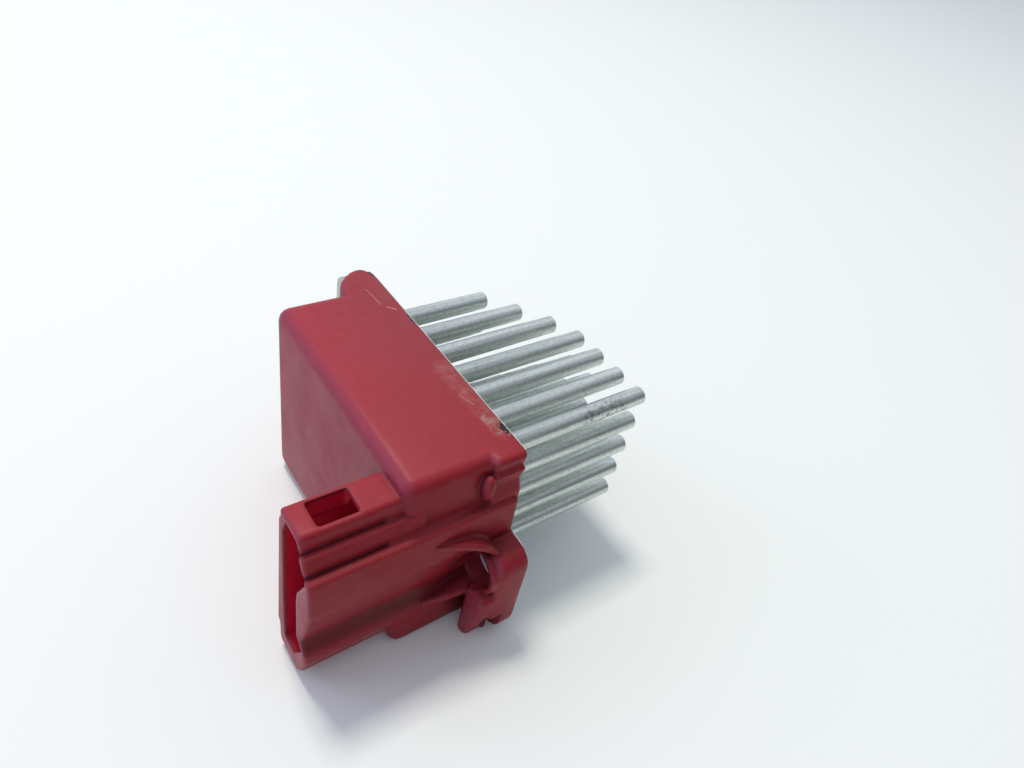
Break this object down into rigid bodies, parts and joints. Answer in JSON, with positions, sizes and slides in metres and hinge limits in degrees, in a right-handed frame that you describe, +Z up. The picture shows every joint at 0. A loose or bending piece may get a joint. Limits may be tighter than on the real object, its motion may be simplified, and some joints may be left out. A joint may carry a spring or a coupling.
{
  "type": "blower motor resistor",
  "caption": "Electronic blower regulator: red plastic plug housing with two screw ears, closed by an aluminium heat sink with a field of round pins.",
  "frame": {"origin": "on the heat sink face that is screwed to the air duct, midway between four pins", "axes": "+X along the pins into the air flow, +Y towards the far screw ear, +Z up to the flush top side"},
  "size_m": [0.0787, 0.0741, 0.0475],
  "materials": {
    "red_plastic": "moulded glass-filled plastic, faded red, satin",
    "aluminium": "forged, satin, slightly pitted",
    "steel": "zinc plated",
    "tin": "tinned copper alloy",
    "copper": "bare copper",
    "rubber": "soft black rubber",
    "board": "green solder mask",
    "black_resin": "moulded resin",
    "grey_pad": "thermal pad",
    "ferrite": "pressed ferrite",
    "ceramic": "fired ceramic"
  },
  "bodies": {
    "root": {"housing": "red_plastic", "heat_sink": "aluminium", "far_ear_bush": "steel", "near_ear_bush": "steel", "sealing_bead": "rubber", "circuit_board": "board", "board_screw_1": "steel", "board_screw_2": "steel", "transistor_tab": "copper", "transistor_body": "black_resin", "transistor_leg_1": "tin", "transistor_leg_2": "tin", "transistor_leg_3": "tin", "thermal_pad": "grey_pad", "clamp_spring": "steel", "clamp_screw": "steel", "power_blade_1": "tin", "power_blade_2": "tin", "signal_blade_1": "tin", "signal_blade_2": "tin", "capacitor_can": "aluminium", "capacitor_bung": "rubber", "capacitor_lead_1": "tin", "capacitor_lead_2": "tin", "choke_core": "ferrite", "choke_winding": "copper", "shunt": "copper", "control_chip": "black_resin", "suppressor_diode": "black_resin", "temperature_sensor": "ceramic", "chip_resistor_1": "black_resin", "chip_resistor_2": "black_resin", "chip_resistor_3": "black_resin", "chip_resistor_4": "black_resin", "chip_capacitor_1": "ceramic", "chip_capacitor_2": "ceramic"}
  },
  "joints": []
}
